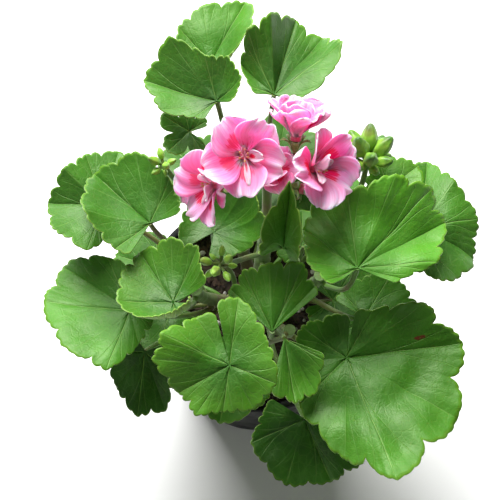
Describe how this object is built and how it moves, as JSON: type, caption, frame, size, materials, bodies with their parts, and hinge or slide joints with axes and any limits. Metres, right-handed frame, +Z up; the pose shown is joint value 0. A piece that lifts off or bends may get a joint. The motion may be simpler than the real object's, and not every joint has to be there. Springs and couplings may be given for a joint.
{
  "type": "potted double geranium",
  "caption": "Bushy flowering geranium with round scalloped leaves, a head of double pink florets and clusters of green buds, growing in a tapered nursery pot.",
  "frame": {"origin": "centre of the flat underside of the pot", "axes": "+Z up along the pot's axis, -Y towards the side that the picture was taken from, +X to the right of that side"},
  "size_m": [0.1848, 0.2105, 0.2166],
  "materials": {
    "leaf": "satin",
    "stem": "satin",
    "petal": "soft satin",
    "bud": "satin",
    "pot": "matte moulded",
    "potting_mix": "rough"
  },
  "bodies": {
    "root": {"bud_head_left": "bud", "bud_head_right": "bud", "bud_head_young": "bud", "floret_1": "petal", "floret_2": "petal", "floret_3": "petal", "floret_4": "petal", "floret_5": "petal", "floret_6": "petal", "flower_stalk": "stem", "leaf_back_left": "leaf", "leaf_back_right": "leaf", "leaf_back_tip": "leaf", "leaf_bud": "leaf", "leaf_centre": "leaf", "leaf_centre_low": "leaf", "leaf_far_right": "leaf", "leaf_folded": "leaf", "leaf_front": "leaf", "leaf_front_right": "leaf", "leaf_left": "leaf", "leaf_left_far": "leaf", "leaf_left_front": "leaf", "leaf_left_low": "leaf", "leaf_low_back": "leaf", "leaf_low_back_left": "leaf", "leaf_low_back_right": "leaf", "leaf_low_front": "leaf", "leaf_low_left": "leaf", "leaf_mid": "leaf", "leaf_mid_left": "leaf", "leaf_right": "leaf", "leaf_skirt_back": "leaf", "leaf_skirt_back_left": "leaf", "leaf_skirt_front": "leaf", "leaf_skirt_left": "leaf", "leaf_skirt_right": "leaf", "leaf_small": "leaf", "leaf_under_right": "leaf", "pot": "pot", "potting_mix": "potting_mix", "shoot_back": "stem", "shoot_front": "stem", "shoot_left": "stem", "shoot_main": "stem", "shoot_right": "stem"}
  },
  "joints": []
}
